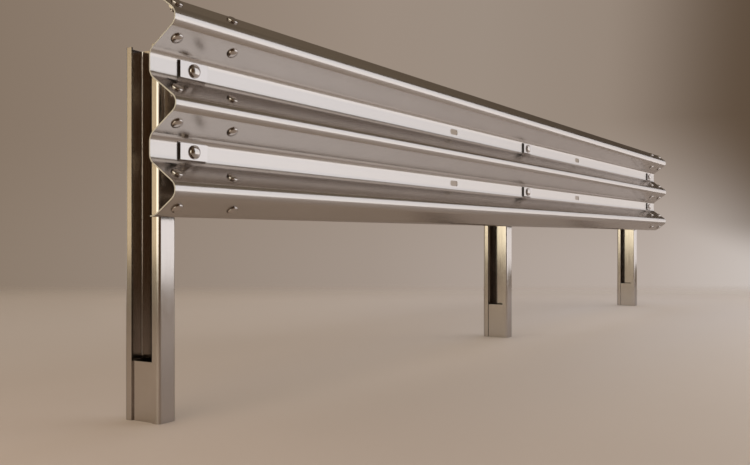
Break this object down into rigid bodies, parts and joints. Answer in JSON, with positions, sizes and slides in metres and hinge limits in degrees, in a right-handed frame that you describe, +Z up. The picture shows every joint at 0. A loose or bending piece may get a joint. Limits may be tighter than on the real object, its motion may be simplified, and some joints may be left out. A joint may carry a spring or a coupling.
{
  "type": "highway guardrail section",
  "caption": "Free-ended steel guardrail section: a rail rolled with crests and flat valleys, bolted through channel spacers to lipped channel posts with foot sleeves.",
  "frame": {"origin": "ground line of the middle post, on the line of its rail bolts and halfway through the thickness of its front flange", "axes": "+X along the road, -Y towards the traffic, +Z up"},
  "size_m": [4.55, 0.2819, 1.009],
  "materials": {
    "rail_steel": "smooth rolled steel, low-gloss sheen",
    "post_steel": "smooth bent steel sheet, low-gloss sheen",
    "plate_steel": "smooth flat plate",
    "bolt_steel": "polished bolt heads and nuts"
  },
  "bodies": {
    "root": {"rail_panel": "rail_steel", "post_1": "post_steel", "foot_sleeve_1": "post_steel", "spacer_1": "post_steel", "plate_washer_1_upper": "plate_steel", "rail_bolt_1_upper": "bolt_steel", "rail_nut_1_upper": "bolt_steel", "post_bolt_1_upper": "bolt_steel", "post_nut_1_upper": "bolt_steel", "plate_washer_1_lower": "plate_steel", "rail_bolt_1_lower": "bolt_steel", "rail_nut_1_lower": "bolt_steel", "post_bolt_1_lower": "bolt_steel", "post_nut_1_lower": "bolt_steel", "post_2": "post_steel", "foot_sleeve_2": "post_steel", "spacer_2": "post_steel", "plate_washer_2_upper": "plate_steel", "rail_bolt_2_upper": "bolt_steel", "rail_nut_2_upper": "bolt_steel", "post_bolt_2_upper": "bolt_steel", "post_nut_2_upper": "bolt_steel", "plate_washer_2_lower": "plate_steel", "rail_bolt_2_lower": "bolt_steel", "rail_nut_2_lower": "bolt_steel", "post_bolt_2_lower": "bolt_steel", "post_nut_2_lower": "bolt_steel", "post_3": "post_steel", "foot_sleeve_3": "post_steel", "spacer_3": "post_steel", "plate_washer_3_upper": "plate_steel", "rail_bolt_3_upper": "bolt_steel", "rail_nut_3_upper": "bolt_steel", "post_bolt_3_upper": "bolt_steel", "post_nut_3_upper": "bolt_steel", "plate_washer_3_lower": "plate_steel", "rail_bolt_3_lower": "bolt_steel", "rail_nut_3_lower": "bolt_steel", "post_bolt_3_lower": "bolt_steel", "post_nut_3_lower": "bolt_steel"}
  },
  "joints": []
}
